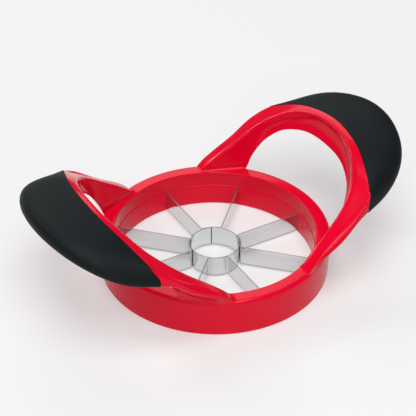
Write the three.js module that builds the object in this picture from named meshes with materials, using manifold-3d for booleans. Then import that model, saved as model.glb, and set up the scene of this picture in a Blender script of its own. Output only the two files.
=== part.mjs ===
// A hand-pressed apple slicer and corer. A moulded ring carries two arched handles with soft grips,
// and eight blades, bent in pairs from four steel strips, run from a core tube to the ring's wall.
// Millimetres, +Z up. The origin is the ring's centre on the surface that the ring stands on.
// The handles point along +X and -X, and the two ends are the same shape.
import * as THREE from 'three';
import { mergeVertices } from 'three/addons/utils/BufferGeometryUtils.js';
import Module from 'manifold-3d';

const wasm = await Module();
wasm.setup();

// Ring
const ringRadius = 56;
const ringWall = 7.2;
const ringHeight = 19.3;
const ringDraft = 0.4;
const rimRound = 1.8;
const rimLip = 0.7;
const footRound = 0.6;
const boreRecess = 0.3;
const boreFlare = 0.4;

// Blade carrier, the inner ring that clamps the blade ends
const carrierWall = 3;
const carrierLift = 0.4;
const carrierRound = 0.4;
const seatClearance = 0.3;

// Blades
const bladeCount = 8;
const bladeThickness = 0.5;
const bladeHeight = 10.4;
const bladeLift = 1;
const bevelHeight = 1.3;
const cuttingEdge = 0.14;
const bendRadius = 1;
const tabShoulder = 2.2;
const slotBacking = 0.6;
const slotClearance = 0.3;

// Core tube
const coreRadius = 12;
const tubeThickness = 0.5;
const weldGap = 0.3;
const seamGap = 0.3;

// Where the seam lies, as a share of a whole turn from +X
const seamTurnShare = 0.186;

// Handles
const handleReach = 39.5;
const handleRise = 41.1;

// Grips
const gripThickness = 2;
const gripClearance = 0.3;
const gripCorner = 3.2;

// One overrun serves all cuts
const cutOverrun = 1;

// How finely the round and swept forms are stepped
const ringSteps = 72;
const roundSteps = 3;
const bayPoints = 3;
const topSteps = 7;
const underSteps = 6;
const innerSteps = 3;
const gripSteps = 24;
const gripOutlineSteps = 12;
const tubeSteps = 48;
const arcSteps = 6;
const bendSteps = 3;

// Sizes that follow from the ones above
const carrierBore = ringRadius - ringWall;
const carrierRadius = carrierBore + carrierWall;
const carrierTop = bladeLift + bladeHeight;
const skirtBore = carrierRadius + seatClearance;
const shoulderHeight = carrierTop + seatClearance;
const boreRadius = carrierBore + boreRecess;
const rimRadius = ringRadius + ringDraft;
const rimDepth = ringHeight - shoulderHeight;
const halfLength = ringRadius + handleReach;
const tubeRadius = coreRadius + tubeThickness;
const tubeMiddle = coreRadius + tubeThickness / 2;
const stripRadius = tubeRadius + weldGap + bladeThickness / 2;
const tabEnd = carrierRadius - slotBacking - slotClearance;
const slotWidth = bladeThickness + 2 * slotClearance;
const wedgeAngle = 2 * Math.PI / bladeCount;

// Each handle is lofted along four rails: the crest round the finger gap, the crease outside the flat
// strip, the widest edge, and the lower edge of the finger gap. A rail's arch runs from the tip to the
// arm as shares of the half length, the ring's radius and the handle's rise above the ring.
// Its two foot places are an angle in degrees from the handle's axis, a share of the ring's wall
// and a share of the rim's depth, so that a foot always lands on the ring and ends inside its wall.
const railShares = {
  crest: {
    arch: [[0.684, 0, 0.995], [0.668, 0.268, 0.949], [0.612, 0.502, 0.82], [0.569, 0.6, 0.713],
      [0.515, 0.684, 0.596], [0.392, 0.766, 0.343]],
    foot: [[66.2, 0.26, 1.06], [72, 0.25, 0.43]],
  },
  crease: {
    arch: [[0.723, 0, 1.001], [0.705, 0.308, 0.958], [0.666, 0.556, 0.859], [0.626, 0.735, 0.737],
      [0.585, 0.821, 0.634], [0.408, 0.863, 0.355]],
    foot: [[68.2, 1.04, 1.12], [72, 0.81, 0.43]],
  },
  edge: {
    arch: [[1, 0, 0.93], [0.952, 0.403, 0.859], [0.832, 0.672, 0.699], [0.704, 0.781, 0.562],
      [0.561, 0.864, 0.497], [0.413, 0.913, 0.282]],
    foot: [[64.4, 1.13, 1.15], [65.4, 0.9, 0.35]],
  },
  lower: {
    arch: [[0.655, 0, 0.725], [0.64, 0.282, 0.696], [0.594, 0.491, 0.591], [0.562, 0.561, 0.508],
      [0.522, 0.614, 0.401], [0.463, 0.659, 0.202]],
    foot: [[43.1, 1.04, 1], [45.6, 0.884, 0.2]],
  },
};

// The section's fullness: how far the top swells over a straight line from crease to edge, how far the
// edge is rounded above and below, and how far the underside sags, each as a share of the local width.
const crownShare = 0.05;
const shoulderShare = 0.28;
const keelShare = 0.26;
const sagShare = 0.023;
const hollowShare = 0.09;

// The middle of the section, which the grip's inner face keeps clear of
const coreNearShare = 0.2;
const coreFarShare = 0.8;

// How much of the rails a grip runs along, and how far round the handle it reaches
const gripEndShare = 0.544;
const gripWrapShare = 0.74;

// Where the grip's rounded end corners are sampled, from the end inwards, as shares of the corner
const cornerShares = [0, 0.12, 0.45];

// Each strip spans one wedge out of two, and this is the first one's middle, counted in wedges
const firstStripShare = 1.5;

const redPlastic = new THREE.MeshStandardMaterial({ color: 0xd5102b, roughness: 0.22, metalness: 0 });
const blackRubber = new THREE.MeshStandardMaterial({ color: 0x1b2023, roughness: 0.62, metalness: 0 });
const bladeSteel = new THREE.MeshStandardMaterial({ color: 0xc9cdcf, roughness: 0.3, metalness: 1 });

// Solids and meshes
function solidOf(geometry) {
  const bare = geometry.index ? geometry.toNonIndexed() : geometry.clone();
  bare.deleteAttribute('normal');
  bare.deleteAttribute('uv');
  const merged = mergeVertices(bare);
  const vertProperties = new Float32Array(merged.attributes.position.array);
  const triVerts = new Uint32Array(merged.index.array);
  return new wasm.Manifold(new wasm.Mesh({ numProp: 3, vertProperties, triVerts }));
}

function geometryOf(solid) {
  const mesh = solid.getMesh();
  const geometry = new THREE.BufferGeometry();
  geometry.setAttribute('position', new THREE.BufferAttribute(new Float32Array(mesh.vertProperties), 3));
  geometry.setIndex(new THREE.BufferAttribute(new Uint32Array(mesh.triVerts), 1));
  return geometry;
}

function namedMesh(name, geometry, material) {
  const mesh = new THREE.Mesh(geometry, material);
  mesh.name = name;
  return mesh;
}

// A closed skin over a run of sections, each a loop of the same number of points, and flat at both ends
function loft(sections) {
  const positions = [];
  const indices = [];
  const count = sections[0].length;
  for (const section of sections) {
    for (const point of section) {
      positions.push(point.x, point.y, point.z);
    }
  }
  for (let i = 0; i + 1 < sections.length; i += 1) {
    for (let j = 0; j < count; j += 1) {
      const k = (j + 1) % count;
      const a = i * count + j;
      const b = i * count + k;
      const c = (i + 1) * count + k;
      const d = (i + 1) * count + j;
      indices.push(a, b, d, b, c, d);
    }
  }
  const last = (sections.length - 1) * count;
  const half = Math.floor(count / 2);
  const cap = (first, second, third, fourth) => {
    indices.push(first, second, third, first, third, fourth);
  };
  for (let j = 0; j < half - 1; j += 1) {
    const k = count - 1 - j;
    cap(j, k, k - 1, j + 1);
    cap(last + j, last + j + 1, last + k - 1, last + k);
  }
  const geometry = new THREE.BufferGeometry();
  geometry.setAttribute('position', new THREE.BufferAttribute(new Float32Array(positions), 3));
  geometry.setIndex(indices);
  return geometry;
}

// A solid of revolution about +Z from a closed profile of radius and height
function turned(profile) {
  const geometry = new THREE.LatheGeometry([...profile, profile[0]], ringSteps);
  geometry.rotateX(Math.PI / 2);
  return geometry;
}

function roundCorner(centre, radius, from, to) {
  const points = [];
  for (let i = 0; i <= roundSteps; i += 1) {
    const angle = THREE.MathUtils.lerp(from, to, i / roundSteps);
    const x = centre.x + radius * Math.cos(angle);
    const y = centre.y + radius * Math.sin(angle);
    points.push(new THREE.Vector2(x, y));
  }
  return points;
}

// The ring: a rim over a shoulder, and a thinner skirt below it that leaves room for the carrier
function ringSolid() {
  const lipCentre = new THREE.Vector2(boreRadius + boreFlare + rimLip, ringHeight - rimLip);
  const rimCentre = new THREE.Vector2(rimRadius - rimRound, ringHeight - rimRound);
  const footCentre = new THREE.Vector2(ringRadius - footRound, footRound);
  const profile = [
    new THREE.Vector2(skirtBore, 0),
    ...roundCorner(footCentre, footRound, -Math.PI / 2, 0),
    ...roundCorner(rimCentre, rimRound, 0, Math.PI / 2),
    ...roundCorner(lipCentre, rimLip, Math.PI / 2, Math.PI),
    new THREE.Vector2(boreRadius, shoulderHeight),
    new THREE.Vector2(skirtBore, shoulderHeight),
  ];
  return solidOf(turned(profile));
}

// A rail as one smooth curve from foot to foot through the tip
function railCurve(shares) {
  const wall = ringRadius - boreRadius;
  const arch = shares.arch.map(([along, across, up]) => new THREE.Vector3(
    halfLength * along,
    ringRadius * across,
    ringHeight + handleRise * up,
  ));
  const foot = shares.foot.map(([degrees, wallShare, depthShare]) => {
    const angle = THREE.MathUtils.degToRad(degrees);
    const radius = boreRadius + wall * wallShare;
    const height = shoulderHeight + rimDepth * depthShare;
    return new THREE.Vector3(radius * Math.cos(angle), radius * Math.sin(angle), height);
  });
  const half = [...arch, ...foot];
  const mirrored = half.slice(1).reverse().map((point) => new THREE.Vector3(point.x, -point.y, point.z));
  return new THREE.CatmullRomCurve3([...mirrored, ...half], false, 'catmullrom', 0.5);
}

const rails = {
  crest: railCurve(railShares.crest),
  crease: railCurve(railShares.crease),
  edge: railCurve(railShares.edge),
  lower: railCurve(railShares.lower),
};
const bayCount = rails.crest.points.length - 1;

function raised(point, height) {
  return new THREE.Vector3(point.x, point.y, point.z + height);
}

function curvePoints(curve, steps) {
  return curve.getPoints(steps).slice(0, -1);
}

// The handle's outline at a place along the rails, from 0 at one foot to 1 at the other.
// It runs from the crest over the strip to the crease, round the edge to the gap's lower edge, and back.
function handleOutline(place) {
  const crest = rails.crest.getPoint(place);
  const crease = rails.crease.getPoint(place);
  const edge = rails.edge.getPoint(place);
  const lower = rails.lower.getPoint(place);
  const width = crest.distanceTo(edge);
  const topWidth = crease.distanceTo(edge);
  const swell = crease.clone().lerp(edge, 0.5);
  const top = new THREE.CubicBezierCurve3(
    crease,
    raised(new THREE.Vector3(swell.x, swell.y, crease.z), topWidth * crownShare),
    raised(edge, topWidth * shoulderShare),
    edge,
  );
  const under = new THREE.CubicBezierCurve3(
    edge,
    raised(edge, -width * keelShare),
    raised(lower.clone().lerp(edge, 0.5), -width * sagShare),
    lower,
  );
  const hollow = crest.clone().lerp(lower, 0.5).lerp(edge, hollowShare);
  const inner = new THREE.QuadraticBezierCurve3(lower, hollow, crest);
  return {
    strip: [crest, crest.clone().lerp(crease, 0.5)],
    outside: [...curvePoints(top, topSteps), ...curvePoints(under, underSteps), lower],
    inside: curvePoints(inner, innerSteps).slice(1),
    middle: new THREE.Line3(
      edge.clone().lerp(crest.clone().lerp(lower, 0.5), coreNearShare),
      edge.clone().lerp(crest.clone().lerp(lower, 0.5), coreFarShare),
    ),
  };
}

function handleSolid() {
  const sections = [];
  const steps = bayCount * bayPoints;
  for (let i = 0; i <= steps; i += 1) {
    const outline = handleOutline(i / steps);
    sections.push([...outline.strip, ...outline.outside, ...outline.inside]);
  }
  return solidOf(loft(sections));
}

// A point at a distance along a chain of points
function along(points, distance) {
  let left = distance;
  for (let i = 0; i + 1 < points.length; i += 1) {
    const length = points[i].distanceTo(points[i + 1]);
    if (left <= length || i + 2 === points.length) {
      return points[i].clone().lerp(points[i + 1], left / length);
    }
    left -= length;
  }
  return points[points.length - 1].clone();
}

function chainLength(points) {
  let total = 0;
  for (let i = 0; i + 1 < points.length; i += 1) {
    total += points[i].distanceTo(points[i + 1]);
  }
  return total;
}

// The cover wrapped round the outside of a handle, as a skin between two depths below the surface.
// Spread widens it on every side, which makes the pocket that it sits in.
function coverSolid(outerDepth, innerDepth, spread) {
  const railLength = rails.crease.getLength();
  const halfShare = gripEndShare / 2 + spread / railLength;
  const cornerSpan = gripCorner / (halfShare * railLength);
  const cornerPlaces = cornerShares.map((share) => -1 + cornerSpan * share);
  const places = [...cornerPlaces];
  for (let i = 0; i <= gripSteps; i += 1) {
    places.push(THREE.MathUtils.lerp(-1 + cornerSpan, 1 - cornerSpan, i / gripSteps));
  }
  places.push(...cornerPlaces.reverse().map((place) => -place));
  const sections = places.map((place) => {
    const outline = handleOutline(0.5 + place * halfShare);
    const chain = [...outline.strip, ...outline.outside];
    const start = chainLength([...outline.strip, outline.outside[0]]);
    const end = start + chainLength(outline.outside) * gripWrapShare;
    const fromEnd = (1 - Math.abs(place)) / cornerSpan;
    const bite = fromEnd < 1 ? gripCorner * (1 - Math.sqrt(1 - (1 - fromEnd) ** 2)) : 0;
    const outer = [];
    const inner = [];
    for (let j = 0; j <= gripOutlineSteps; j += 1) {
      const distance = THREE.MathUtils.lerp(start + bite - spread, end - bite + spread, j / gripOutlineSteps);
      const point = along(chain, distance);
      const inward = outline.middle.closestPointToPoint(point, true, new THREE.Vector3()).sub(point).normalize();
      outer.push(point.clone().addScaledVector(inward, outerDepth));
      inner.push(point.clone().addScaledVector(inward, innerDepth));
    }
    return [...outer, ...inner.reverse()];
  });
  return solidOf(loft(sections));
}

function bodyMesh() {
  const pocket = coverSolid(-cutOverrun, gripThickness + gripClearance, gripClearance);
  const handle = handleSolid().subtract(pocket);
  const body = ringSolid().add(handle).add(handle.rotate([0, 0, 180]));
  return namedMesh('body', geometryOf(body), redPlastic);
}

function gripMesh(name, direction) {
  const grip = namedMesh(name, geometryOf(coverSolid(0, gripThickness, 0)), blackRubber);
  grip.rotation.z = direction;
  return grip;
}

// The carrier: a plain ring with a slot, open at the top, for each blade's tab
function carrierMesh() {
  const profile = [
    new THREE.Vector2(carrierBore + carrierRound, carrierLift),
    new THREE.Vector2(carrierRadius - carrierRound, carrierLift),
    new THREE.Vector2(carrierRadius, carrierLift + carrierRound),
    new THREE.Vector2(carrierRadius, carrierTop),
    new THREE.Vector2(carrierBore, carrierTop),
    new THREE.Vector2(carrierBore, carrierLift + carrierRound),
  ];
  const slotStart = carrierBore - cutOverrun;
  const slotEnd = tabEnd + slotClearance;
  const slotFloor = bladeLift + tabShoulder - slotClearance;
  const slotTop = carrierTop + cutOverrun;
  const slot = new THREE.BoxGeometry(slotEnd - slotStart, slotWidth, slotTop - slotFloor);
  slot.translate((slotStart + slotEnd) / 2, 0, (slotFloor + slotTop) / 2);
  let carrier = solidOf(turned(profile));
  for (let i = 0; i < bladeCount; i += 1) {
    const turn = THREE.MathUtils.radToDeg(i * wedgeAngle);
    carrier = carrier.subtract(solidOf(slot).rotate([0, 0, turn]));
  }
  return namedMesh('blade_carrier', geometryOf(carrier), redPlastic);
}

// A steel strip on edge along a path, ground to a cutting edge below.
// Each place on the path is a point in plan and the height of the strip's lower edge there.
function stripSolid(path, thickness) {
  const top = bladeLift + bladeHeight;
  const sections = path.map((place, i) => {
    const before = path[Math.max(i - 1, 0)].at;
    const after = path[Math.min(i + 1, path.length - 1)].at;
    const forward = after.clone().sub(before).normalize();
    const side = new THREE.Vector2(-forward.y, forward.x);
    const corner = (offset, height) => {
      const at = place.at.clone().addScaledVector(side, offset);
      return new THREE.Vector3(at.x, at.y, height);
    };
    return [
      corner(-thickness / 2, top),
      corner(-thickness / 2, place.low + bevelHeight),
      corner(-cuttingEdge / 2, place.low),
      corner(cuttingEdge / 2, place.low),
      corner(thickness / 2, place.low + bevelHeight),
      corner(thickness / 2, top),
    ];
  });
  return solidOf(loft(sections));
}

function polar(radius, angle) {
  return new THREE.Vector2(radius * Math.cos(angle), radius * Math.sin(angle));
}

// The core tube: a band rolled round until its ends nearly meet at the seam
function tubeMesh() {
  const halfSeam = seamGap / 2 / tubeMiddle;
  const path = [];
  for (let i = 0; i <= tubeSteps; i += 1) {
    const start = 2 * Math.PI * seamTurnShare + halfSeam;
    const angle = THREE.MathUtils.lerp(start, start + 2 * (Math.PI - halfSeam), i / tubeSteps);
    path.push({ at: polar(tubeMiddle, angle), low: bladeLift });
  }
  return namedMesh('core_tube', geometryOf(stripSolid(path, tubeThickness)), bladeSteel);
}

// One strip: in along a blade, a bend, an arc that hugs the tube, a bend, and out along the next blade
function bladeStripMesh(name, direction) {
  const halfWedge = wedgeAngle / 2;
  const bendAngle = bendRadius / stripRadius;
  const shoulder = carrierBore - slotClearance;
  const outward = [{ at: polar(stripRadius, halfWedge - bendAngle), low: bladeLift }];
  const bend = new THREE.QuadraticBezierCurve(
    polar(stripRadius, halfWedge - bendAngle),
    polar(stripRadius, halfWedge),
    polar(stripRadius + bendRadius, halfWedge),
  );
  for (const at of bend.getPoints(bendSteps).slice(1)) {
    outward.push({ at, low: bladeLift });
  }
  outward.push({ at: polar(shoulder - slotClearance, halfWedge), low: bladeLift });
  outward.push({ at: polar(shoulder, halfWedge), low: bladeLift + tabShoulder });
  outward.push({ at: polar(tabEnd, halfWedge), low: bladeLift + tabShoulder });
  const inward = outward.slice().reverse().map((place) => ({
    at: new THREE.Vector2(place.at.x, -place.at.y),
    low: place.low,
  }));
  const arc = [];
  for (let i = 1; i < arcSteps; i += 1) {
    const angle = THREE.MathUtils.lerp(bendAngle - halfWedge, halfWedge - bendAngle, i / arcSteps);
    arc.push({ at: polar(stripRadius, angle), low: bladeLift });
  }
  const solid = stripSolid([...inward, ...arc, ...outward], bladeThickness);
  const mesh = namedMesh(name, geometryOf(solid), bladeSteel);
  mesh.rotation.z = direction;
  return mesh;
}

const slicer = new THREE.Group();
slicer.add(bodyMesh());
slicer.add(carrierMesh());
slicer.add(tubeMesh());
for (let i = 0; i < bladeCount / 2; i += 1) {
  slicer.add(bladeStripMesh(`blade_strip_${i + 1}`, wedgeAngle * (firstStripShare + 2 * i)));
}
slicer.add(gripMesh('grip_right', 0));
slicer.add(gripMesh('grip_left', Math.PI));

export default slicer;
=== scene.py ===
# %% [markdown]
# This is an apple slicer. One glossy red moulding makes the ring and both handles, and two soft
# black grips wrap the handles. Four bent steel strips make eight blades, which run from a core tube
# to an inner ring that holds their ends.
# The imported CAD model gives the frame, and this file gives every piece its finished surface.
# It could be dressed with modifiers on the CAD meshes, but their facets would show in the gloss, so
# each piece is drawn again here, finer, from the same sizes, and stands for its CAD node.

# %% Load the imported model
import math

import bmesh
import bpy
import numpy as np
from mathutils import Matrix, Vector


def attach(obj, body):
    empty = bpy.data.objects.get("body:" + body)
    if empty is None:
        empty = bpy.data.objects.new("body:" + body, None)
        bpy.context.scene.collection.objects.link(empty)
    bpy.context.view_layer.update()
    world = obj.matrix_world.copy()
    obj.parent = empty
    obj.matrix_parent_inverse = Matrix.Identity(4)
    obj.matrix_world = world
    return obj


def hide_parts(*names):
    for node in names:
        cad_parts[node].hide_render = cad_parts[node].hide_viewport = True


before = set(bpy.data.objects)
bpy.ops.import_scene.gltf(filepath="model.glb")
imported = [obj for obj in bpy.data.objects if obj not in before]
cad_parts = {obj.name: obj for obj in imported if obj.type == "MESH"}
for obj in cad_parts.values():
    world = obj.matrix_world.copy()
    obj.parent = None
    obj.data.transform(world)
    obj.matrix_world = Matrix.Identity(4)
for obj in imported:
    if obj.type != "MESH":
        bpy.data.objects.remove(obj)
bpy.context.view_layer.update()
scene = bpy.context.scene
MM = 0.001


def placed(name, data):
    """A new object in the scene, for a mesh, a light or a camera."""
    made = bpy.data.objects.new(name, data)
    scene.collection.objects.link(made)
    return made


print("CAD nodes:", ", ".join(sorted(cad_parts)))

# %% [markdown]
# The photograph looks down on the slicer from the front left through a long lens, with the camera
# rolled by about half a degree. The camera's place was worked out from the ring, which is a circle
# seen as an ellipse, and from the two handles, which are alike.
# A camera could be aimed with a Track To constraint, but the roll is easier to give in a matrix.

# %% Camera
camera_turn = math.radians(30.71)
camera_tilt = math.radians(35.858)
camera_roll = math.radians(0.592)
camera_distance = 745.3 * MM
camera_target = Vector((12.71, 28.19, 10.0)) * MM
photo_pixels = 416
focal_pixels = 1466.9
sensor_width = 36.0
near_clip = 10.0 * MM

camera_data = bpy.data.cameras.new("photo_camera")
camera_data.sensor_fit = "HORIZONTAL"
camera_data.sensor_width = sensor_width
camera_data.lens = focal_pixels * sensor_width / photo_pixels
camera_data.clip_start = near_clip
camera = placed("photo_camera", camera_data)
aim = Matrix.Rotation(-camera_turn, 4, "Z") @ Matrix.Rotation(math.pi / 2 - camera_tilt, 4, "X")
camera.matrix_world = (
    Matrix.Translation(camera_target) @ aim
    @ Matrix.Translation((0, 0, camera_distance)) @ Matrix.Rotation(camera_roll, 4, "Z")
)
scene.camera = camera
print("camera at", [round(v / MM, 1) for v in camera.matrix_world.translation], "mm")

# %% [markdown]
# Meshes are drawn in millimetres, as on a maker's drawing, and turned into metres once, here.
# A closed skin over a grid of points serves every drawn piece: a handle, a grip and a cutter.
# Bridge Edge Loops could join the sections by hand, but a script can list the faces itself.

# %% Mesh helpers
merge_distance = 0.0001


def mesh_object(name, points, faces=(), edges=()):
    """A mesh object from points in millimetres."""
    mesh = bpy.data.meshes.new(name)
    mesh.from_pydata([tuple(p) for p in np.asarray(points, float) * MM], edges, faces)
    mesh.update()
    return placed(name, mesh)


def grid_faces(rows, columns):
    """Quads over rows of points, where each row is a closed loop."""
    faces = []
    for i in range(rows - 1):
        for j in range(columns):
            k = (j + 1) % columns
            here, beyond = i * columns, (i + 1) * columns
            faces.append((here + j, here + k, beyond + k, beyond + j))
    return faces


def skin(name, sections):
    """A closed skin over sections, an array of rows of points. Each end is closed across its row."""
    rows, columns = sections.shape[:2]
    faces = grid_faces(rows, columns)
    last = (rows - 1) * columns
    for j in range(columns // 2 - 1):
        k = columns - 1 - j
        faces.append((j, k, k - 1, j + 1))
        faces.append((last + j, last + j + 1, last + k - 1, last + k))
    made = mesh_object(name, sections.reshape(-1, 3), faces)
    face_outwards(made)
    return made


def face_outwards(made):
    """Merges doubles, then turns all faces outwards."""
    cleaner = bmesh.new()
    cleaner.from_mesh(made.data)
    bmesh.ops.remove_doubles(cleaner, verts=cleaner.verts, dist=merge_distance * MM)
    bmesh.ops.recalc_face_normals(cleaner, faces=cleaner.faces)
    if cleaner.calc_volume(signed=True) < 0:
        bmesh.ops.reverse_faces(cleaner, faces=cleaner.faces)
    cleaner.to_mesh(made.data)
    cleaner.free()


def baked(made):
    """Swaps an object's mesh for what its modifiers make of it, and takes them off."""
    bpy.context.view_layer.update()
    graph = bpy.context.evaluated_depsgraph_get()
    result = bpy.data.meshes.new_from_object(made.evaluated_get(graph), depsgraph=graph)
    made.modifiers.clear()
    made.data = result
    return made


def triangles(made):
    """How many triangles an object's faces come to."""
    return sum(len(face.vertices) - 2 for face in made.data.polygons)


# %% [markdown]
# The ring, the blade carrier, the core tube and the blade strips are each a small section that
# follows a path. A lathe, a Screw modifier or a curve with a bevel could make each one. Geometry
# Nodes make them all with one tree, which can also notch the strips' ends. The helpers that come
# first build any tree: a node is added together with what feeds it, so the code reads as it flows.

# %% Node helpers


def feed(tree, node, inputs):
    """Gives a node its inputs, by name or number. Each is a value, or the socket that feeds it."""
    for label, value in inputs.items():
        if isinstance(value, bpy.types.NodeSocket):
            tree.links.new(value, node.inputs[label])
        else:
            node.inputs[label].default_value = value


def add_node(tree, kind, inputs=None, **settings):
    made = tree.nodes.new(kind)
    for label, value in settings.items():
        setattr(made, label, value)
    feed(tree, made, inputs or {})
    return made


def new_tree(kind, name, inputs, outputs):
    """A tree and its given values. Inputs are name: (kind, value), and outputs are name: kind."""
    tree = bpy.data.node_groups.new(name, kind)
    for label, (socket_kind, value) in inputs.items():
        socket = tree.interface.new_socket(
            label, in_out="INPUT", socket_type="NodeSocket" + socket_kind)
        if value is not None:
            socket.default_value = value
    for label, socket_kind in outputs.items():
        tree.interface.new_socket(label, in_out="OUTPUT", socket_type="NodeSocket" + socket_kind)
    return tree, add_node(tree, "NodeGroupInput").outputs


def end_tree(tree, geometry, material):
    """Makes instances real, because an export drops them, and gives the result its material."""
    real = add_node(tree, "GeometryNodeRealizeInstances", {0: geometry}).outputs[0]
    paint = add_node(tree, "GeometryNodeSetMaterial", {"Geometry": real, "Material": material})
    add_node(tree, "NodeGroupOutput", {0: paint.outputs[0]})


# %% [markdown]
# A strip's ends are cut away from below, where they enter the blade carrier. A boolean could cut
# each one. Here a mask finds the points that lie far enough out and low enough, and the tree lifts
# them, which keeps the strip's own faces and leaves nothing to clean up.

# %% A mask for the notched ends


def notch_mask(tree, given):
    """True for points beyond the notch's radius and below its height."""
    place = add_node(tree, "GeometryNodeInputPosition").outputs[0]
    parts = add_node(tree, "ShaderNodeSeparateXYZ", {0: place}).outputs
    flat = add_node(tree, "ShaderNodeCombineXYZ", {"X": parts["X"], "Y": parts["Y"]}).outputs[0]
    radius = add_node(tree, "ShaderNodeVectorMath", {0: flat}, operation="LENGTH").outputs["Value"]
    beyond = add_node(
        tree, "FunctionNodeCompare", {0: radius, 1: given["Notch From"]}, operation="GREATER_THAN")
    below = add_node(
        tree, "FunctionNodeCompare", {0: parts["Z"], 1: given["Notch Below"]}, operation="LESS_THAN")
    both = {0: beyond.outputs[0], 1: below.outputs[0]}
    return add_node(tree, "FunctionNodeBooleanMath", both, operation="AND").outputs[0]


# %% [markdown]
# The tree makes a curve from a chain of edges, keeps the section upright on it, sweeps it and closes
# the ends. A curve's own bevel could do that much, but not what follows: the tree lifts the notch,
# turns the piece about the axis and gives it its material.

# %% A tree that sweeps a section along a path


def sweep_tree():
    tree, given = new_tree("GeometryNodeTree", "Section swept along a path", {
        "Path": ("Geometry", None), "Section": ("Object", None), "Turn": ("Float", 0.0),
        "Notch From": ("Float", 1.0), "Notch Below": ("Float", 0.0), "Notch Lift": ("Float", 0.0),
        "Material": ("Material", None),
    }, {"Geometry": "Geometry"})
    path = add_node(tree, "GeometryNodeMeshToCurve", {0: given["Path"]})
    upright = add_node(tree, "GeometryNodeSetCurveNormal", {"Curve": path.outputs[0]}, mode="Z_UP")
    section = add_node(tree, "GeometryNodeObjectInfo", {"Object": given["Section"]})
    outline = add_node(tree, "GeometryNodeMeshToCurve", {0: section.outputs["Geometry"]})
    sweep = add_node(tree, "GeometryNodeCurveToMesh", {
        "Curve": upright.outputs[0], "Profile Curve": outline.outputs[0], "Fill Caps": True})
    offset = add_node(tree, "ShaderNodeCombineXYZ", {"Z": given["Notch Lift"]})
    lift = add_node(tree, "GeometryNodeSetPosition", {
        "Geometry": sweep.outputs[0], "Selection": notch_mask(tree, given),
        "Offset": offset.outputs[0]})
    angle = add_node(tree, "ShaderNodeCombineXYZ", {"Z": given["Turn"]})
    turn = add_node(tree, "GeometryNodeTransform", {
        "Geometry": lift.outputs[0], "Rotation": angle.outputs[0]})
    end_tree(tree, turn.outputs[0], given["Material"])
    return tree


sweeper = sweep_tree()
print("sweep tree:", len(sweeper.nodes), "nodes")

# %% [markdown]
# A tree does nothing until an object runs it, so these helpers draw a path and a section as chains
# of edges, run the tree on them as a modifier, and keep the plain mesh that comes out. The modifier
# could stay live, but a plain mesh can be cut and joined, and is the same wherever it is opened.

# %% A piece from a tree


def line_object(name, points, closed):
    """A chain of edges, used as a path or as a section."""
    count = len(points)
    edges = [(i, i + 1) for i in range(count - 1)] + ([(count - 1, 0)] if closed else [])
    return mesh_object(name, points, edges=edges)


def run_tree(made, tree, **inputs):
    """Runs a tree on an object with inputs by name, such as notch_from for Notch From."""
    modifier = made.modifiers.new(tree.name, "NODES")
    modifier.node_group = tree
    for item in tree.interface.items_tree:
        key = item.name.lower().replace(" ", "_")
        if item.in_out == "INPUT" and key in inputs:
            modifier[item.identifier] = inputs[key]
    return baked(made)


def swept(name, path, section, closed_path=True, **inputs):
    """A section, given as (out, up) from the path, swept along a path in plan."""
    flat_path = [(x, y, 0) for x, y in path]
    made = line_object(name, flat_path, closed_path)
    outline = line_object(name + "_section", [(out, -up, 0) for out, up in section], True)
    run_tree(made, sweeper, section=outline, **inputs)
    bpy.data.objects.remove(outline)
    face_outwards(made)
    return made


def circle(radius, steps):
    angles = np.arange(steps) / steps * 2 * np.pi
    return list(zip(radius * np.cos(angles), radius * np.sin(angles)))


def turned(name, profile, steps=360, **inputs):
    """A profile of (radius, height) swept round the axis."""
    middle = sum(radius for radius, _ in profile) / len(profile)
    section = [(radius - middle, height) for radius, height in profile]
    return swept(name, circle(middle, steps), section, **inputs)


# %% [markdown]
# Each handle is a loft along four lines: the crest round the finger gap, the crease outside the flat
# strip, the widest edge, and the lower edge of the gap. Their places are shares of the part's own
# sizes, as in the CAD model, so the two stay alike.
# A Bezier curve with handles could draw them, but a natural cubic spline through the same places has
# no jump in its bend, and that is what keeps the highlights on glossy plastic smooth.

# %% Lines of the handle
ring_radius = 56.0
ring_height = 19.3
bore_radius = 49.1
shoulder_height = 11.7
half_length = 95.5
handle_rise = 41.1

# Each line: six places on the arch as shares of half length, ring radius and rise, then two at the
# foot as degrees round the ring, a share of its wall and a share of its rim
line_shares = {
    "crest": (
        [(0.684, 0, 0.995), (0.668, 0.268, 0.949), (0.612, 0.502, 0.82), (0.569, 0.6, 0.713),
         (0.513, 0.68, 0.602), (0.384, 0.757, 0.358)],
        [(66.9, 0.16, 1.11), (72.5, 0.16, 0.43)],
    ),
    "crease": (
        [(0.723, 0, 1.001), (0.705, 0.308, 0.958), (0.666, 0.556, 0.859), (0.626, 0.735, 0.737),
         (0.585, 0.821, 0.634), (0.408, 0.863, 0.355)],
        [(68.2, 1.04, 1.12), (72, 0.81, 0.43)],
    ),
    "edge": (
        [(1, 0, 0.93), (0.952, 0.403, 0.859), (0.832, 0.672, 0.699), (0.704, 0.781, 0.562),
         (0.561, 0.864, 0.497), (0.413, 0.913, 0.282)],
        [(64.4, 1.13, 1.15), (65.4, 0.9, 0.35)],
    ),
    "lower": (
        [(0.655, 0, 0.716), (0.64, 0.282, 0.688), (0.594, 0.491, 0.586), (0.562, 0.561, 0.506),
         (0.522, 0.62, 0.388), (0.463, 0.669, 0.155)],
        [(42.4, 1.04, 1), (45, 0.884, 0.2)],
    ),
}


def line_places(arch, foot):
    """The places of one line, from foot to foot through the tip."""
    half = [(half_length * x, ring_radius * y, ring_height + handle_rise * z) for x, y, z in arch]
    for degrees, wall, rim in foot:
        radius = bore_radius + (ring_radius - bore_radius) * wall
        height = shoulder_height + (ring_height - shoulder_height) * rim
        angle = math.radians(degrees)
        half.append((radius * math.cos(angle), radius * math.sin(angle), height))
    half = np.array(half)
    return np.concatenate([half[:0:-1] * (1, -1, 1), half])


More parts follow.
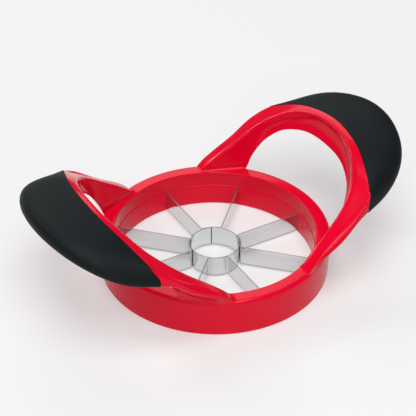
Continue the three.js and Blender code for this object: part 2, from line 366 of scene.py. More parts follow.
lines = {name: line_places(*shares) for name, shares in line_shares.items()}
bay_lengths = np.mean(
    [np.linalg.norm(np.diff(line, axis=0), axis=1) for line in lines.values()], axis=0)
knots = np.concatenate([[0], np.cumsum(bay_lengths)])
bays = len(bay_lengths)


def spline(values, places):
    """A natural cubic spline through values at the knots, read at places."""
    gaps = np.diff(knots)
    matrix = np.eye(len(knots))
    slopes = np.diff(values, axis=0) / gaps[:, None]
    right = np.zeros_like(values)
    right[1:-1] = 6 * np.diff(slopes, axis=0)
    for i in range(1, len(gaps)):
        matrix[i, i - 1:i + 2] = gaps[i - 1], 2 * (gaps[i - 1] + gaps[i]), gaps[i]
    bend = np.linalg.solve(matrix, right)
    bay = np.clip(np.searchsorted(knots, places, side="right") - 1, 0, len(gaps) - 1)
    gap = gaps[bay][:, None]
    b = (places - knots[bay])[:, None] / gap
    a = 1 - b
    curve = ((a**3 - a) * bend[bay] + (b**3 - b) * bend[bay + 1]) * gap**2 / 6
    return a * values[bay] + b * values[bay + 1] + curve


print("handle lines run", round(float(knots[-1])), "mm from foot to foot")

# %% [markdown]
# A cut through the handle is a flat strip, a crowned top that rolls over the widest edge, an
# underside that comes back to the finger gap, and a slightly hollow wall up to the crest.
# One section could be scaled from place to place, but the handle is broad and flat at the tip and
# narrow on its arms. So Bezier curves draw each part afresh, with pulls that are shares of the local
# width.

# %% Section of the handle
crown_share = 0.05
shoulder_share = 0.28
keel_share = 0.26
sag_share = 0.023
hollow_share = 0.09
strip_steps, top_steps, under_steps, wall_steps = 8, 28, 24, 14


def bezier(controls, steps):
    """Points along a Bezier curve in each row, closer together towards both ends."""
    share = (1 - np.cos(np.linspace(0, np.pi, steps + 1)))[None, :, None] / 2
    chain = [control[:, None, :] for control in controls]
    while len(chain) > 1:
        chain = [before * (1 - share) + after * share for before, after in zip(chain, chain[1:])]
    return chain[0]


def raised(points, height):
    return points + height[:, None] * np.array([0, 0, 1])


def handle_parts(places, fine=1):
    """The parts of the section at each place along the handle: strip, top, underside and wall."""
    crest, crease, edge, lower = (spline(lines[name], places) for name in lines)
    width = np.linalg.norm(crest - edge, axis=1)
    top_width = np.linalg.norm(crease - edge, axis=1)
    swell = (crease + edge) / 2
    swell[:, 2] = crease[:, 2]
    hollow = (crest + lower) / 2 * (1 - hollow_share) + edge * hollow_share
    return (
        bezier([crest, crease], strip_steps * fine),
        bezier([crease, raised(swell, top_width * crown_share),
                raised(edge, top_width * shoulder_share), edge], top_steps * fine),
        bezier([edge, raised(edge, -width * keel_share),
                raised((lower + edge) / 2, -width * sag_share), lower], under_steps * fine),
        bezier([lower, hollow, crest], wall_steps * fine),
    )


print("handle section:", strip_steps + top_steps + under_steps + wall_steps, "points round")

# %% [markdown]
# A mould leaves no knife edge, so the crest, the crease and the lower edge are rounded. The Bevel
# modifier rounds by the angle between faces, but the crease's angle fades along the arm. So each
# corner is rounded in the section itself, over a distance that can change from the tip to the foot.

# %% Handle with its edges rounded
crest_reach = 2.2
crest_reach_on_arm = 1.5
crest_change_bays = (2, 4)
crest_limit_share = 0.6
crease_reach_at_grip = 0.2
crease_reach_gain = 0.45
crease_gain_bays = 0.6
crease_limit_share = 0.35
lower_reach = 0.5
grip_end_bay = 3.81


def eased(loop, column, reach, spread=7):
    """Rounds loops at one corner, from a distance before it to the same distance after it."""
    at = np.arange(column - spread, column + spread + 1) % loop.shape[1]
    around = loop[:, at]
    steps = np.linalg.norm(np.diff(around, axis=1), axis=2)
    travel = np.concatenate([np.zeros((len(loop), 1)), np.cumsum(steps, axis=1)], axis=1)
    travel -= travel[:, spread:spread + 1]
    ends = [np.array([[np.interp(side * near, row, line[:, axis]) for axis in range(3)]
                      for near, row, line in zip(reach, travel, around)]) for side in (-1, 1)]
    share = np.clip(travel / reach[:, None] / 2 + 0.5, 0, 1)[:, :, None]
    first, corner_at, last = (points[:, None] for points in (ends[0], loop[:, column], ends[1]))
    curve = first * (1 - share) ** 2 + 2 * corner_at * share * (1 - share) + last * share**2
    loop[:, at] = np.where(np.abs(travel)[:, :, None] < reach[:, None, None], curve, around)


def drawn_handle(name, steps=360):
    """A handle with its crest, its crease and its lower edge rounded as a mould rounds them."""
    places = np.linspace(0, knots[-1], steps + 1)
    parts = handle_parts(places)
    loop = np.concatenate([part[:, :-1] for part in parts], axis=1)
    corners = np.cumsum([0] + [part.shape[1] - 1 for part in parts])
    strip_width = np.linalg.norm(parts[0][:, 0] - parts[0][:, -1], axis=1)
    from_tip = np.abs(np.interp(places, knots, range(bays + 1)) - bays / 2)
    bare = np.clip((from_tip - grip_end_bay + crease_gain_bays / 2) / crease_gain_bays, 0, 1)
    crest_round = np.interp(from_tip, crest_change_bays, [crest_reach, crest_reach_on_arm])
    crease_round = crease_reach_at_grip + crease_reach_gain * bare
    eased(loop, corners[0], np.minimum(crest_round, strip_width * crest_limit_share))
    eased(loop, corners[1], np.minimum(crease_round, strip_width * crease_limit_share))
    eased(loop, corners[3], np.full(len(places), lower_reach))
    return skin(name, loop)


# %% [markdown]
# A turned piece starts as a profile: round corners with straight runs between them. A Bevel modifier
# could round the corners later, but a drawn corner has exactly its own radius. Long runs get extra
# points, because a huge face beside a tiny one makes the gloss on both look bent.

# %% Profile helpers


def arc(centre, radius, start, end, steps=8):
    """Points round an arc, such as a profile's corner, from one angle in degrees to another."""
    angles = np.radians(np.linspace(start, end, steps + 1))
    return [(centre[0] + radius * math.cos(a), centre[1] + radius * math.sin(a)) for a in angles]


def stepped(profile, step=1.0):
    """Adds points along the long straight runs of a closed profile, so that shading stays local."""
    result = []
    for start, end in zip(profile, profile[1:] + profile[:1]):
        count = max(1, math.ceil(math.dist(start, end) / step))
        result += [tuple(point) for point in np.linspace(start, end, count, endpoint=False)]
    return result


# %% [markdown]
# The red moulding is one piece: the ring and the handles run into each other. They are drawn as three
# closed blanks and joined by a boolean union, which keeps every drawn surface, but leaves a
# knife-sharp corner round each root, where a mould has a small soft fillet.
# A bevel fails there, because the surfaces meet at a shallow angle. So a copy of the blanks is fused
# by a voxel remesh and smoothed, which fills such corners. It is shrunk a little, so that it hides
# inside the drawn surfaces everywhere else, and it joins the union as the fillets.

# %% Fillets round the roots
fillet_voxel = 0.6
fillet_passes = 14
fillet_shrink = 0.05


def soft_copy(name, parts):
    """The parts fused, smoothed and shrunk, as one closed mesh."""
    fused = bmesh.new()
    for part in parts:
        fused.from_mesh(part.data)
    mesh = bpy.data.meshes.new(name)
    fused.to_mesh(mesh)
    fused.free()
    made = placed(name, mesh)
    remesh = made.modifiers.new("fuse", "REMESH")
    remesh.mode = "VOXEL"
    remesh.voxel_size = fillet_voxel * MM
    soften = made.modifiers.new("soften", "SMOOTH")
    soften.iterations = fillet_passes
    baked(made)
    places, normals = (np.zeros(len(made.data.vertices) * 3) for _ in range(2))
    made.data.vertices.foreach_get("co", places)
    made.data.vertices.foreach_get("normal", normals)
    made.data.vertices.foreach_set("co", places - normals * fillet_shrink * MM)
    return made


# %% [markdown]
# Now the three blanks and their fillets become one closed mesh. The ring is turned, a little wider at
# the rim than at the foot, so that it leaves its mould. The Manifold solver is the quickest that
# Blender has, and keeps a closed mesh closed, which the cuts that follow need.

# %% Ring and handles fused
foot_round = 0.6
rim_round = 1.8
ring_draft = 0.4
blank_bore = 46.5


def combine(made, others, operation):
    """Adds other closed meshes to an object, or cuts them from it. The others go."""
    for other in others:
        modifier = made.modifiers.new(operation.lower(), "BOOLEAN")
        modifier.operation = operation
        modifier.solver = "MANIFOLD"
        modifier.object = other
    baked(made)
    for other in others:
        bpy.data.objects.remove(other)


rim_radius = ring_radius + ring_draft
moulding = turned("red_moulding", stepped([
    (blank_bore, 0),
    *arc((ring_radius - foot_round, foot_round), foot_round, -90, 0),
    *arc((rim_radius - rim_round, ring_height - rim_round), rim_round, 0, 90),
    (blank_bore, ring_height),
]))
right_blank = drawn_handle("right_blank")
left_blank = drawn_handle("left_blank")
left_blank.data.transform(Matrix.Rotation(math.pi, 4, "Z"))
fillets = soft_copy("fillets", [moulding, right_blank, left_blank])
combine(moulding, [right_blank, left_blank, fillets], "UNION")
print("moulding:", triangles(moulding), "triangles")

# %% [markdown]
# A grip is a skin 2 mm thick, moulded onto the outside of the handle from one arm to the other.
# It could be cut out of the handle with a boolean, but its own grid lets its border be rolled over
# and its corners be round. The same grid, a little larger, cuts the pocket that it lies in.

# %% Points on the handle's outside


def outside_points(places, travel):
    """Points on the handle's outside, at distances from the crease, and the outlines' lengths."""
    strip, top, under, _ = handle_parts(places, fine=2)
    chain = np.concatenate([strip[:, :-1], top[:, :-1], under], axis=1)
    steps = np.linalg.norm(np.diff(chain, axis=1), axis=2)
    reach = np.concatenate([np.zeros((len(places), 1)), np.cumsum(steps, axis=1)], axis=1)
    crease_at = strip.shape[1] - 1
    reach -= reach[:, crease_at:crease_at + 1]
    points = np.stack([
        [np.interp(wanted, row, line[:, axis]) for axis in range(3)]
        for wanted, row, line in zip(travel, reach, chain)
    ])
    return points.transpose(0, 2, 1), reach[:, -1]


def with_close_borders(length, step, close):
    """Distances from 0 to length, packed closely near both ends."""
    count = max(2, round((length - 2 * close[-1]) / step))
    middle = np.linspace(close[-1], length - close[-1], count + 1)[1:-1]
    return np.concatenate([close, middle, length - close[::-1]])


tip_outline = outside_points(knots[[bays // 2]], np.zeros((1, 1)))[1]
print("crease to gap at the tip:", round(float(tip_outline[0]), 1), "mm")

# %% [markdown]
# The border is drawn with rows that crowd together, because that is where the grip bends. Near it
# the outer sheet drops along a quarter circle, and at the four corners the border itself is round.
# A Bevel modifier could soften the border, but the corners would still have to be drawn round.

# %% Grips
grip_thickness = 1.9
grip_proud = 0.22
grip_corner = 5.5
grip_roll = 0.5
grip_wrap_share = 0.74
pocket_gap = 0.05
pocket_overrun = 1.2
row_step = 1.1
columns_across = 40
border_rows = np.array([0, 0.03, 0.1, 0.22, 0.4, 0.65, 1.0, 1.6, 2.4, 3.2])
border_columns = border_rows[:7] / columns_across


def grip_sheets(spread, offset_out, offset_in, roll):
    """The outer and inner sheet of a grip, or of its pocket when it is spread and not rolled."""
    middle = bays / 2
    ends = np.interp([middle - grip_end_bay, middle + grip_end_bay], range(bays + 1), knots)
    length = ends[1] - ends[0] + 2 * spread
    along = with_close_borders(length, row_step, border_rows)
    places = ends[0] - spread + along
    _, outline_length = outside_points(places, np.zeros((len(places), 1)))
    from_end = np.minimum(along, length - along)[:, None]
    short = np.clip(grip_corner - from_end, 0, None)
    bite = grip_corner - np.sqrt(grip_corner**2 - short**2)
    start = -spread + bite
    end = outline_length[:, None] * grip_wrap_share + spread - bite
    share = with_close_borders(1, 1 / columns_across, border_columns)
    travel = start + (end - start) * share[None, :]
    points, _ = outside_points(places, travel)
    normal = np.cross(np.gradient(points, axis=1), np.gradient(points, axis=0))
    normal /= np.linalg.norm(normal, axis=2)[:, :, None]
    side = np.minimum(travel - start, end - travel) + bite
    in_corner = (from_end < grip_corner) & (side < grip_corner)
    to_corner = grip_corner - np.hypot(grip_corner - from_end, grip_corner - side)
    border = np.where(in_corner, to_corner, np.minimum(from_end, side))
    missing = np.clip(roll - border, 0, roll)
    drop = roll - np.sqrt(np.clip(roll**2 - missing**2, 0, None))
    return points + normal * (offset_out - drop)[:, :, None], points + normal * offset_in


def grip_skin(name, *sheet_values):
    """The closed skin round both sheets of a grip or of its pocket."""
    outer, inner = grip_sheets(*sheet_values)
    return skin(name, np.concatenate([outer, inner[:, ::-1]], axis=1))


grips = {}
pockets = []
for side, angle in (("right", 0), ("left", math.pi)):
    grip = grip_skin("soft_grip_" + side, 0, grip_proud, -grip_thickness, grip_roll)
    pocket = grip_skin("pocket_" + side, pocket_gap, pocket_overrun, -grip_thickness - pocket_gap, 0)
    for made in (grip, pocket):
        made.data.transform(Matrix.Rotation(angle, 4, "Z"))
    grips[side] = grip
    pockets.append(pocket)
print("grip:", triangles(grips["right"]), "triangles")

# %% [markdown]
# The bore is turned like the ring, and cut last, so its edges stay crisp: a lip at the top, a plain
# wall, and a step under which the blade carrier sits. It could be part of the ring's profile,
# but then the handles' blanks, which reach into the bore, would have to be cut as well.
# The cutter is hollow at the axis, and a plug takes away what it leaves there. The cut also leaves a
# speck that hangs free where two surfaces nearly touch, so only the largest connected part is kept.

# %% Bore and pockets cut
skirt_bore = 52.1
bore_flare = 0.15
rim_lip = 0.5
lip_radius = bore_radius + bore_flare + rim_lip
lip_overrun = 0.1
cut_low = -1
cut_top = ring_height + 0.04
lathe_hole = 5.0
plug_radius = lathe_hole + 1
plug_hole = 0.01
plug_low, plug_top = -2, 25

bore = turned("bore", [
    (lathe_hole, cut_low),
    (skirt_bore, cut_low),
    (skirt_bore, shoulder_height),
    (bore_radius, shoulder_height),
    *arc((lip_radius, ring_height - rim_lip), rim_lip, 180, 92),
    (lip_radius + lip_overrun, cut_top),
    (lathe_hole, cut_top),
])
plug_profile = [
    (plug_hole, plug_low), (plug_radius, plug_low), (plug_radius, plug_top), (plug_hole, plug_top)]
core_left = turned("core_left", plug_profile, steps=24)


def without_specks(made):
    """Keeps the largest connected part of a mesh, and returns how many specks it dropped."""
    loose = bmesh.new()
    loose.from_mesh(made.data)
    unseen = set(loose.verts)
    parts = []
    while unseen:
        waiting = [unseen.pop()]
        part = set(waiting)
        while waiting:
            vertex = waiting.pop()
            near = {link.other_vert(vertex) for link in vertex.link_edges} & unseen
            unseen -= near
            part |= near
            waiting += near
        parts.append(part)
    parts.sort(key=len)
    for part in parts[:-1]:
        bmesh.ops.delete(loose, geom=list(part), context="VERTS")
    loose.to_mesh(made.data)
    loose.free()
    return len(parts) - 1


combine(moulding, [bore, core_left, *pockets], "DIFFERENCE")
print("specks dropped:", without_specks(moulding))
print("moulding cut:", triangles(moulding), "triangles")

# %% [markdown]
# The blade carrier is an inner ring, welded up into the skirt from below. Its slots hold the blade
# ends. An Array modifier round an empty could repeat one slot, but eight equal slots are a rule, so a
# second tree sets a box on each point of a circle, turns it to face the centre, and cuts them all
# from the ring at once.

# %% A tree that cuts slots round a ring


def slot_tree():
    tree, given = new_tree("GeometryNodeTree", "Slots cut round a ring", {
        "Ring": ("Geometry", None), "Count": ("Int", 8), "Slot Size": ("Vector", None),
        "Slot Radius": ("Float", 0.05), "Slot Height": ("Float", 0.0),
        "Material": ("Material", None),
    }, {"Geometry": "Geometry"})
    centres = add_node(tree, "GeometryNodeMeshCircle", {
        "Vertices": given["Count"], "Radius": given["Slot Radius"]})
    slot = add_node(tree, "GeometryNodeMeshCube", {"Size": given["Slot Size"]})
    place = add_node(tree, "GeometryNodeInputPosition").outputs[0]
    facing = add_node(tree, "FunctionNodeAlignRotationToVector", {"Vector": place}, axis="X")
    spread = add_node(tree, "GeometryNodeInstanceOnPoints", {
        "Points": centres.outputs[0], "Instance": slot.outputs["Mesh"],
        "Rotation": facing.outputs[0]})
    slots = add_node(tree, "GeometryNodeRealizeInstances", {0: spread.outputs[0]})
    rise = add_node(tree, "ShaderNodeCombineXYZ", {"Z": given["Slot Height"]})
    lift = add_node(tree, "GeometryNodeTransform", {
        "Geometry": slots.outputs[0], "Translation": rise.outputs[0]})
    cut = add_node(tree, "GeometryNodeMeshBoolean", {
        "Mesh 1": given["Ring"], "Mesh 2": lift.outputs[0],
    }, operation="DIFFERENCE", solver="MANIFOLD")
    end_tree(tree, cut.outputs["Mesh"], given["Material"])
    return tree


slotter = slot_tree()
print("slot tree:", len(slotter.nodes), "nodes")

# %% [markdown]
# No real surface is quite even, and what several finishes share is made once, as a shader group with
# named inputs and outputs. These helpers do a sum and make a noise in any tree.
# An image texture would need a UV map; noise on the object's own coordinates needs none, and it
# stays on the piece in every view.

# %% Shader helpers


def math_node(tree, operation, first, second):
    """The result of a sum. Each value may be a number or a socket."""
    return add_node(tree, "ShaderNodeMath", {0: first, 1: second}, operation=operation).outputs[0]


def noise(tree, vector, scale, detail):
    inputs = {"Vector": vector, "Scale": scale, "Detail": detail}
    return add_node(tree, "ShaderNodeTexNoise", inputs).outputs["Fac"]


def object_place(tree):
    return add_node(tree, "ShaderNodeTexCoord").outputs["Object"]


# %% [markdown]
# The first group is the unevenness of any moulded or rolled surface: a slow drift from place to
# place, a fine grain, and a few specks of dust. A finish uses them as colour, roughness or bump.
# A second noise could make the specks too, but Voronoi cells give round ones that can be thinned.

# %% Uneven surface
speck_size = 0.22


def uneven_surface():
    """Slow drift, fine grain and sparse specks of dust, each as a value from 0 to 1."""
    tree, given = new_tree("ShaderNodeTree", "Uneven surface", {
        "Drift Scale": ("Float", 30.0), "Grain Scale": ("Float", 900.0),
        "Dust Scale": ("Float", 700.0), "Dust Amount": ("Float", 0.05),
    }, {"Drift": "Float", "Grain": "Float", "Dust": "Float"})
    place = object_place(tree)
    speck = add_node(tree, "ShaderNodeTexVoronoi", {"Vector": place, "Scale": given["Dust Scale"]})
    small = math_node(tree, "LESS_THAN", speck.outputs["Distance"], speck_size)
    pick = add_node(tree, "ShaderNodeSeparateColor", {"Color": speck.outputs["Color"]})
    rare = math_node(tree, "LESS_THAN", pick.outputs["Red"], given["Dust Amount"])
    add_node(tree, "NodeGroupOutput", {
        "Drift": noise(tree, place, given["Drift Scale"], 3.0),
        "Grain": noise(tree, place, given["Grain Scale"], 4.0),
        "Dust": math_node(tree, "MULTIPLY", small, rare),
    })
    return tree


uneven = uneven_surface()
print("shader group:", uneven.name)

# %% [markdown]
# The second group is for rolled or ground steel, whose fine lines all run one way. A wave texture is
# too regular for them. Noise that is squeezed across the strip and drawn out along it is not.

# %% Rolled lines
streak_scale = 0.16


def rolled_lines():
    """Lines left by a roller or a grinding wheel. They vary quickly across, and slowly along."""
    tree, given = new_tree("ShaderNodeTree", "Rolled lines", {
        "Across": ("Float", 2600.0), "Along": ("Float", 26.0),
    }, {"Lines": "Float", "Streaks": "Float"})
    parts = add_node(tree, "ShaderNodeSeparateXYZ", {0: object_place(tree)}).outputs
    pulls = {"X": given["Along"], "Y": given["Along"], "Z": given["Across"]}
    stretched = add_node(tree, "ShaderNodeCombineXYZ", {
        axis: math_node(tree, "MULTIPLY", parts[axis], pull) for axis, pull in pulls.items()})
    add_node(tree, "NodeGroupOutput", {
        "Lines": noise(tree, stretched.outputs[0], 1.0, 3.0),
        "Streaks": noise(tree, stretched.outputs[0], streak_scale, 2.0),
    })
    return tree


rolled = rolled_lines()
print("shader group:", rolled.name)

# %% [markdown]
# Each finish is a Principled BSDF that the groups feed. Simpler shaders could be mixed instead, but
# this one keeps to how real surfaces reflect. What is the same all over, such as the strength of the
# gloss, is set on the shader's own socket, so that an exported model keeps it.

# %% Finish helpers
noise_low, noise_high = 0.3, 0.7


def spaced(names):
    """Socket names with spaces, from keywords such as Drift_Scale."""
    return {label.replace("_", " "): value for label, value in names.items()}


def finish(name, colour, roughness, **sockets):
    made = bpy.data.materials.new(name)
    made.use_nodes = True
    shader = made.node_tree.nodes["Principled BSDF"]
    feed(made.node_tree, shader, {
        "Base Color": (*colour, 1), "Roughness": roughness, **spaced(sockets)})
    return made, made.node_tree, shader


def group_node(tree, group, **inputs):
    return add_node(tree, "ShaderNodeGroup", spaced(inputs), node_tree=group).outputs


def ranged(tree, value, low, high, start=noise_low, end=noise_high):
    """Passes from low to high as a value goes from start to end, where most of a noise lies."""
    return add_node(tree, "ShaderNodeMapRange", {
        "Value": value, "From Min": start, "From Max": end, "To Min": low, "To Max": high,
    }).outputs[0]


def mixed(tree, share, first, second):
    """One colour passing into another. Each may be a colour or a socket."""
    first, second = ((*c, 1) if isinstance(c, tuple) else c for c in (first, second))
    inputs = {"Factor": share, 6: first, 7: second}
    return add_node(tree, "ShaderNodeMix", inputs, data_type="RGBA").outputs[2]


def bumped(tree, height, distance):
    inputs = {"Height": height, "Distance": distance, "Strength": 1.0}
    return add_node(tree, "ShaderNodeBump", inputs).outputs[0]


def soft_finish(name, colour, roughness, gloss, drifting, dust, grain, **scales):
    """A plastic or a rubber, whose colour and roughness drift, with some grain and dust."""
    made, tree, shader = finish(name, colour, roughness, Specular_IOR_Level=gloss)
    surface = group_node(tree, uneven, **scales)
    deep, pale, roughness_range = drifting
    dust_colour, dust_share = dust
    plain = mixed(tree, ranged(tree, surface["Drift"], 0, 1), deep, pale)
    dusty = math_node(tree, "MULTIPLY", surface["Dust"], dust_share)
    feed(tree, shader, {
        "Base Color": mixed(tree, dusty, plain, dust_colour),
        "Roughness": ranged(tree, surface["Drift"], *roughness_range),
        "Normal": bumped(tree, surface["Grain"], grain),
    })
    return made


# %% [markdown]
# The red is a hard plastic, coloured right through, from a polished mould. It is glossy but not a
# mirror: a faint waviness makes highlights wander a little, and its gloss drifts from place to place.
# A clear coat on top would be a second, sharper gloss, which bare plastic doesn't have.

# %% Red plastic
red = soft_finish(
    "glossy_red_plastic", colour=(0.7, 0.0004, 0.022), roughness=0.16, gloss=0.17,
    drifting=((0.685, 0.0003, 0.02), (0.715, 0.0006, 0.024), (0.14, 0.19)),
    dust=((0.8, 0.35, 0.35), 0.25), grain=0.004 * MM,
    Drift_Scale=42.0, Grain_Scale=420.0, Dust_Scale=1400.0, Dust_Amount=0.002,
)
print("finish:", red.name)

# %% [markdown]
# The grips are a soft rubber, moulded against a finely sparked steel. That grain is what keeps them
# matte: it spreads a highlight into a broad, dim sheen, strongest where the rubber faces the light.
# The shader's own Sheen would brighten the rims instead, as on cloth.

# %% Soft black rubber
rubber = soft_finish(
    "soft_black_rubber", colour=(0.005, 0.0075, 0.0085), roughness=0.55, gloss=0.14,
    drifting=((0.0035, 0.006, 0.0068), (0.0055, 0.0085, 0.0095), (0.52, 0.6)),
    dust=((0.08, 0.08, 0.075), 0.3), grain=0.03 * MM,
    Drift_Scale=60.0, Grain_Scale=2600.0, Dust_Scale=1100.0, Dust_Amount=0.004,
)
print("finish:", rubber.name)

# %% [markdown]
# The blades and the tube are thin stainless strip, rolled to a satin face that still mirrors the red
# wall and the pale table. Its fine lines run along the strip, and broader streaks make some places a
# little duller. A painted brushed pattern would be too coarse for strip as fine as this.

# %% Steel
steel_dark, steel_pale = (0.65, 0.66, 0.67), (0.71, 0.72, 0.73)
line_depth = 0.0008 * MM
satin_roughness = (0.05, 0.08)
streak_dulling = 0.03

steel, tree, shader = finish("satin_steel", (0.72, 0.73, 0.74), 0.18, Metallic=1.0)
strip_lines = group_node(tree, rolled, Across=5200.0, Along=30.0)
strip_drift = group_node(tree, uneven, Drift_Scale=90.0)["Drift"]
face = mixed(tree, ranged(tree, strip_lines["Streaks"], 0, 1), steel_dark, steel_pale)
streaked = math_node(tree, "MULTIPLY", strip_lines["Streaks"], streak_dulling)
satin = math_node(tree, "ADD", ranged(tree, strip_drift, *satin_roughness), streaked)
feed(tree, shader, {"Normal": bumped(tree, strip_lines["Lines"], line_depth)})
print("finish:", steel.name)

# %% [markdown]
# Three places differ from the rolled face. The upper edge is sheared and dull, and its darker
# colour is painted shade for the dark line along the blades' tops. The lower edge is ground to a
# thin bevel, whose darker colour is painted shade for the dark line along their feet. And heat
# has left a dark mark where the tube's ends are welded. Each could have a material of its own, but
# masks on height and on the distance from the seam let one finish pass into the next, as on real
# steel.

# %% Edges and seam of the steel
blade_low = 1.0
blade_top = 11.4
bevel_height = 0.8
core_radius = 12.0
tube_thickness = 0.5
tube_radius = core_radius + tube_thickness / 2
seam_degrees = 67
bevel_blend = 0.05
sheared_from, sheared_full = 0.06, 0.03
weld_mark_edge, weld_mark_core = 0.45, 0.3
sheared_dulling = 0.45
# Darker colours for the sheared top edge and the ground bevel: painted shade for the dark lines
# there.
sheared_edge_shade_colour, bevel_shade_colour = (0.3, 0.3, 0.31), (0.42, 0.43, 0.44)
weld_colour = (0.04, 0.04, 0.045)

place = object_place(tree)
height = add_node(tree, "ShaderNodeSeparateXYZ", {0: place}).outputs["Z"]
bevel_top = blade_low + bevel_height
ground = ranged(
    tree, height, 0, 1, (bevel_top + bevel_blend) * MM, (bevel_top - bevel_blend) * MM)
sheared = ranged(
    tree, height, 0, 1, (blade_top - sheared_from) * MM, (blade_top - sheared_full) * MM)
seam_place = Matrix.Rotation(math.radians(seam_degrees), 3, "Z") @ Vector((tube_radius, 0, 0)) * MM
flat = add_node(tree, "ShaderNodeVectorMath", {0: place, 1: (1, 1, 0)}, operation="MULTIPLY")
from_seam = add_node(
    tree, "ShaderNodeVectorMath", {0: flat.outputs[0], 1: seam_place}, operation="DISTANCE")
welded = ranged(
    tree, from_seam.outputs["Value"], 0, 1, weld_mark_edge * MM, weld_mark_core * MM)
# Painted shade: the face darkens at the sheared top edge and on the ground bevel.
edged = mixed(tree, ground, mixed(tree, sheared, face, sheared_edge_shade_colour), bevel_shade_colour)
dull_edge = math_node(tree, "MULTIPLY", sheared, sheared_dulling)
feed(tree, shader, {
    "Base Color": mixed(tree, welded, edged, weld_colour),
    "Roughness": math_node(tree, "ADD", satin, dull_edge),
})
print("steel edges: sheared at", blade_top, "mm, ground up to", bevel_top, "mm")

# %% [markdown]
# The blade carrier is a thin, plain ring, so it comes straight from the trees: a small rectangle with
# rounded corners, swept round the axis, and then slotted. Turning it on a lathe and cutting each slot
# by hand would give the same, but the trees keep the slots and the blades that enter them in step.

# %% Carrier
carrier_bore = 48.8
carrier_outside = 51.98
carrier_top = 11.66
carrier_lift = 0.4
carrier_round = 0.3
blade_count = 8
blade_thickness = 0.5
tab_shoulder = 2.2
tab_end = 50.9
slot_gap = 0.05
slot_overrun = 1

inside, outside = carrier_bore + carrier_round, carrier_outside - carrier_round
low, high = carrier_lift + carrier_round, carrier_top - carrier_round
carrier = turned("blade_holder", [
    *arc((inside, low), carrier_round, 180, 270, steps=3),
    *arc((outside, low), carrier_round, 270, 360, steps=3),
    *arc((outside, high), carrier_round, 0, 90, steps=3),
    *arc((inside, high), carrier_round, 90, 180, steps=3),
], material=red)
slot_floor = blade_low + tab_shoulder - slot_gap
slot_top = carrier_top + slot_overrun
slot_start = carrier_bore - slot_overrun
slot_end = tab_end + slot_gap
slot_width = blade_thickness + 2 * slot_gap
run_tree(
    carrier, slotter, count=blade_count, material=red,
    slot_size=((slot_end - slot_start) * MM, slot_width * MM, (slot_top - slot_floor) * MM),
    slot_radius=(slot_start + slot_end) / 2 * MM, slot_height=(slot_floor + slot_top) / 2 * MM,
)
print("carrier:", triangles(carrier), "triangles")

# %% [markdown]
# The tube is a strip rolled into a circle that doesn't quite close at its seam. It and the blades
# have one section: a flat strip with a ground lower edge, and an upper edge without its burr.
# A Solidify modifier could thicken a flat band, but it couldn't grind the edge.

# %% Core tube
cutting_edge = 0.14
edge_break = 0.05
seam_gap = 0.45
tube_steps = 180
half_blade = blade_thickness / 2

strip_section = [
    (-half_blade, bevel_top),
    (-cutting_edge / 2, blade_low),
    (cutting_edge / 2, blade_low),
    (half_blade, bevel_top),
    (half_blade, blade_top - edge_break),
    (half_blade - edge_break, blade_top),
    (edge_break - half_blade, blade_top),
    (-half_blade, blade_top - edge_break),
]
half_seam = math.degrees(seam_gap / 2 / tube_radius)
tube_path = arc(
    (0, 0), tube_radius, seam_degrees + half_seam, seam_degrees + 360 - half_seam, tube_steps)
tube = swept("rolled_tube", tube_path, strip_section, closed_path=False, material=steel)
print("tube:", triangles(tube), "triangles")

# %% [markdown]
# Each strip is bent into two blades. Its path runs in along one blade, round a tight bend, along the
# tube's wall for an eighth of a turn, and out along the next blade. Eight single blades would be
# simpler, but the photograph shows doubled edges at the tube, which such bent strips leave. Its ends
# are notched from below, where they enter the carrier.

# %% Blade strips
bend_radius = 1.0
weld_gap = 0.05
bend_steps, hug_steps = 8, 24
half_pitch = 180 / blade_count
first_turn_pitches = 1.5
hug_radius = core_radius + tube_thickness + weld_gap + half_blade
bend_degrees = math.degrees(bend_radius / hug_radius)
notch_clearance = 0.3
notch_from = carrier_bore - notch_clearance
notch_slope = 0.1


def bent_strip_path():
    """One strip in plan, symmetric about +X."""
    side = math.radians(half_pitch)
    direction = np.array([math.cos(side), math.sin(side)])
    start = np.array(arc((0, 0), hug_radius, half_pitch - bend_degrees, half_pitch, 1))[:1]
    turn, leave = (direction[None] * radius for radius in (hug_radius, hug_radius + bend_radius))
    out = [tuple(p) for p in bezier([start, turn, leave], bend_steps)[0]]
    for radius in (notch_from - notch_slope, notch_from + notch_slope, tab_end):
        out.append(tuple(direction * radius))
    inward = [(x, -y) for x, y in reversed(out)]
    hug = arc((0, 0), hug_radius, bend_degrees - half_pitch, half_pitch - bend_degrees, hug_steps)
    return inward + hug[1:-1] + out


strips = []
for index in range(blade_count // 2):
    strips.append(swept(
        f"bent_strip_{index + 1}", bent_strip_path(), strip_section, closed_path=False,
        turn=math.radians(2 * half_pitch * (first_turn_pitches + 2 * index)), material=steel,
        notch_from=notch_from * MM, notch_below=(bevel_top + tab_shoulder) * MM,
        notch_lift=tab_shoulder * MM,
    ))
print("each strip:", triangles(strips[0]), "triangles")

# %% [markdown]
# Every piece now gets its finish, smooth shading that stops at real edges, and its place in the
# frame: the body that it rides on, the CAD node that it stands for, and its material slot. Nothing
# on a slicer moves, so all pieces ride on the one body, which is called root.

# %% Pieces set in the frame
sharp_from = math.radians(38)


def set_in_frame(made, material, nodes):
    made.data.materials.clear()
    made.data.materials.append(material)
    made.data.polygons.foreach_set("material_index", [0] * len(made.data.polygons))
    made.data.shade_smooth()
    made.data.set_sharp_from_angle(angle=sharp_from)
    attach(made, "root")
    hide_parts(*nodes)


set_in_frame(moulding, red, ["body"])
set_in_frame(carrier, red, ["blade_carrier"])
set_in_frame(tube, steel, ["core_tube"])
for index, strip in enumerate(strips):
    set_in_frame(strip, steel, [f"blade_strip_{index + 1}"])
for side, grip in grips.items():
    set_in_frame(grip, rubber, [f"grip_{side}"])

# %% [markdown]
# A product like this is photographed on a pale table that glows a little, which is why its shadows
# are so light. The large softbox overhead fills the ring, one in front and one behind light the
# handles, and a small one at the back left draws the thin bright lines on the crests and creases.
# Bare lamps would be simpler, but they give hard shadows and white dots on the gloss.

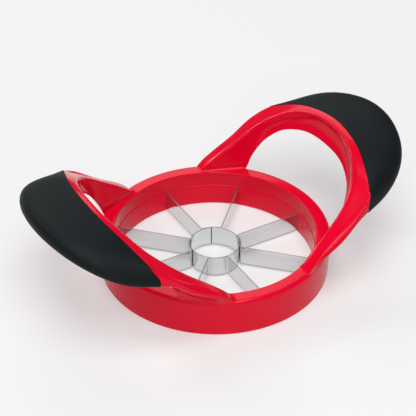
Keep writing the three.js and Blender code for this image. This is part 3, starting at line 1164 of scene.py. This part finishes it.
# %% Lights
room_colour = (0.97, 0.98, 1.0)
room_strength = 0.12
softboxes = {  # turn and tilt in degrees, distance and size in metres, power in watts
    "overhead": (4, 72, 2.4, 1.8, 42),
    "front": (0, 42, 2.6, 1.8, 27),
    "back": (198, 42, 2.2, 1.5, 14),
    "strip": (242, 32, 2.2, 0.3, 5.5),
}


def softbox(name, turn, tilt, distance, size, watts):
    """A square light that faces the part. Turn is 0 on the camera's side and 90 on its right."""
    turn = math.radians(turn) - camera_turn
    tilt = math.radians(tilt)
    flat = distance * math.cos(tilt)
    place = Vector((flat * math.sin(turn), -flat * math.cos(turn), distance * math.sin(tilt)))
    data = bpy.data.lights.new(name, "AREA")
    data.energy = watts
    data.size = size
    made = placed(name, data)
    made.location = place
    made.rotation_euler = place.to_track_quat("Z", "Y").to_euler()
    print(name, "at", [round(v, 2) for v in place], "m")


scene.view_settings.view_transform = "Standard"
world = bpy.data.worlds.new("pale_room")
world.use_nodes = True
feed(world.node_tree, world.node_tree.nodes["Background"], {
    "Color": (*room_colour, 1), "Strength": room_strength})
scene.world = world
for name, placing in softboxes.items():
    softbox(name, *placing)

# %% [markdown]
# The table is one large flat sheet of pale paper, whose tone drifts very slightly. A curved backdrop
# would hide its far edge, but the camera looks down and never sees that far. It is no part of the
# slicer.

# %% Table
paper_colour, paper_shade = (0.5, 0.5, 0.502), (0.49, 0.49, 0.492)
paper_roughness = 0.9
table_size = 4000
table_glow = 0.33

paper, tree, shader = finish(
    "pale_paper", paper_colour, paper_roughness,
    Emission_Color=(1, 1, 1, 1), Emission_Strength=table_glow)
paper_drift = group_node(tree, uneven, Drift_Scale=3.0)["Drift"]
feed(tree, shader, {
    "Base Color": mixed(tree, ranged(tree, paper_drift, 0, 1), paper_shade, paper_colour)})
half = table_size / 2
corners = [(-half, -half, 0), (half, -half, 0), (half, half, 0), (-half, half, 0)]
floor = mesh_object("paper_floor", corners, [(0, 1, 2, 3)])
floor.data.materials.append(paper)
print("table:", table_size, "mm square")
